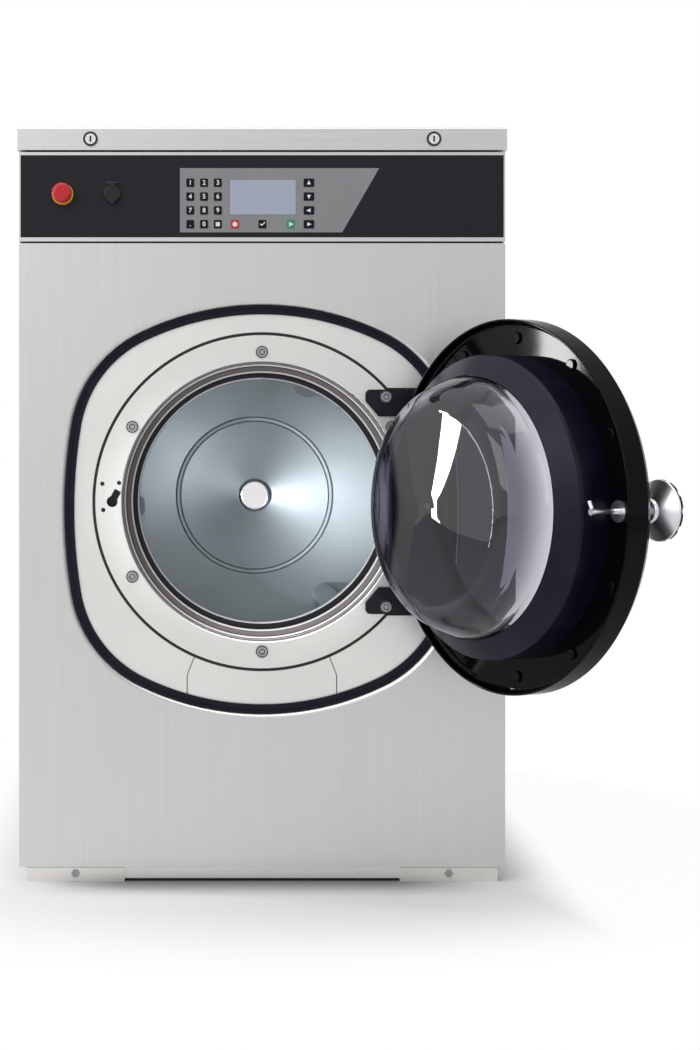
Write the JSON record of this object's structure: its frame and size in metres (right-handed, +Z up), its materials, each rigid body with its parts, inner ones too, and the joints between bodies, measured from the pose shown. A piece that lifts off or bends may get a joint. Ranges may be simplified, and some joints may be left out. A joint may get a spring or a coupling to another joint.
{
  "type": "front-loading washing machine",
  "caption": "Upright commercial front-loading washing machine: stainless cabinet, round glass door with a turn handle, rotating drum on a sprung tub, and a control strip under a lifting lid.",
  "frame": {"origin": "on the floor, under the middle of the cabinet's footprint", "axes": "+X to the right seen from the front, +Y from the front panel to the rear, +Z up"},
  "size_m": [0.9728, 1.3435, 1.233],
  "materials": {
    "brushed_stainless": "vertical satin brushing",
    "side_steel": "fine-grained grey powder coat",
    "base_steel": "grey semi-matt coat",
    "groove_dark": "dark brown semi-matt coat",
    "zinc_steel": "zinc plated",
    "surround_enamel": "smooth light enamel",
    "ring_steel": "satin steel with a polished throat",
    "bolt_steel": "bright plated",
    "hinge_black": "black semi-gloss coat",
    "black_rubber": "matt black rubber",
    "door_rubber": "smooth dark rubber with a purple cast",
    "door_black": "gloss black moulding",
    "clear_glass": "clear pressed glass",
    "knob_chrome": "polished chrome",
    "fascia_navy": "dark navy film with fine texture",
    "overlay_grey": "grey printed membrane",
    "display_glass": "pale blue-grey display window",
    "stop_red": "red moulding",
    "stop_yellow": "yellow moulding",
    "fitting_black": "black moulding",
    "drum_stainless": "bright drawn stainless steel",
    "tub_steel": "plain stainless sheet",
    "drive_iron": "painted casting",
    "bearing_steel": "ground bearing steel",
    "motor_grey": "grey motor enamel",
    "spring_steel": "black coated spring wire"
  },
  "bodies": {
    "cabinet": {"base_frame": "base_steel", "corner_feet": "zinc_steel", "foot_bolts": "zinc_steel", "left_side_panel": "side_steel", "right_side_panel": "side_steel", "rear_panel": "side_steel", "front_panel": "brushed_stainless", "recess_seal": "black_rubber", "control_frame": "brushed_stainless", "control_fascia": "fascia_navy", "keypad_overlay": "overlay_grey", "display_window": "display_glass", "control_electronics": "fitting_black", "stop_collar": "stop_yellow", "service_socket": "fitting_black", "lid_hinges": "side_steel", "lid_buffers": "black_rubber", "suspension_springs": "spring_steel", "dampers": "zinc_steel", "drain_pipe": "fitting_black", "drain_bellows": "black_rubber", "inlet_valves": "fitting_black", "power_gland": "fitting_black"},
    "tub": {"surround_plate": "surround_enamel", "lower_access_cover": "surround_enamel", "surround_carrier": "groove_dark", "door_ring": "ring_steel", "ring_bolts": "bolt_steel", "door_lock": "zinc_steel", "door_hinges": "hinge_black", "tub": "tub_steel", "suspension_brackets": "zinc_steel", "bearing_housing": "drive_iron", "bearings": "bearing_steel", "drive_belt": "black_rubber", "motor": "motor_grey", "tub_fittings": "tub_steel"},
    "drum": {"drum_shell": "drum_stainless", "drum_back": "drum_stainless", "hub_cap": "drum_stainless", "lifters": "drum_stainless", "drum_spider": "drive_iron", "drum_pulley": "drive_iron"},
    "motor_rotor": {"motor_pulley": "drive_iron"},
    "door": {"hinge_arms": "hinge_black", "door_dish": "door_black", "door_seal": "door_rubber", "door_glass": "clear_glass", "door_trim": "door_black", "door_screws": "door_black", "handle_bush": "knob_chrome"},
    "handle": {"latch_shaft": "knob_chrome", "handle_knob": "knob_chrome", "handle_grip": "door_black"},
    "stop_button": {"stop_button": "stop_red"},
    "dust_cap": {"dust_cap": "black_rubber"},
    "lid": {"top_lid": "brushed_stainless", "lock_bezels": "fitting_black"},
    "lock_left": {"lock_left": "bolt_steel"},
    "lock_right": {"lock_right": "bolt_steel"}
  },
  "joints": [
    {"name": "tub_float", "type": "slide", "parent": "cabinet", "child": "tub", "axis": [0, 0, 1], "range_m": [-0.008, 0.008], "stiffness_N_per_m": 90000, "springref_m": 0.02731, "deforming": ["suspension_springs", "drain_bellows"]},
    {"name": "door_swing", "type": "hinge", "parent": "tub", "child": "door", "pos_m": [0.2545, -0.421, 0.621], "axis": [0, 0, 1], "range_deg": [-120, 30]},
    {"name": "handle_turn", "type": "hinge", "parent": "door", "child": "handle", "pos_m": [0.50475, -0.85445, 0.621], "axis": [0.866, 0.5, 0], "range_deg": [0, 90]},
    {"name": "drum_spin", "type": "hinge", "parent": "tub", "child": "drum", "pos_m": [0, 0.22, 0.621], "axis": [0, 1, 0], "continuous": true},
    {"name": "motor_spin", "type": "hinge", "parent": "tub", "child": "motor_rotor", "pos_m": [0.15, 0.22, 0.178], "axis": [0, 1, 0], "continuous": true},
    {"name": "stop_press", "type": "slide", "parent": "cabinet", "child": "stop_button", "axis": [0, 1, 0], "range_m": [0, 0.006], "stiffness_N_per_m": 800},
    {"name": "dust_cap_flip", "type": "hinge", "parent": "cabinet", "child": "dust_cap", "pos_m": [-0.245, -0.3855, 1.141], "axis": [-1, 0, 0], "range_deg": [0, 110]},
    {"name": "lid_lift", "type": "hinge", "parent": "cabinet", "child": "lid", "pos_m": [0, 0.395, 1.205], "axis": [-1, 0, 0], "range_deg": [0, 70]},
    {"name": "lock_left_turn", "type": "hinge", "parent": "lid", "child": "lock_left", "pos_m": [-0.2805, -0.38, 1.214], "axis": [0, -1, 0], "range_deg": [0, 90]},
    {"name": "lock_right_turn", "type": "hinge", "parent": "lid", "child": "lock_right", "pos_m": [0.2805, -0.38, 1.214], "axis": [0, -1, 0], "range_deg": [0, 90]}
  ],
  "couplings": [
    {"joint": "motor_spin", "follows": "drum_spin", "ratio": 5}
  ]
}
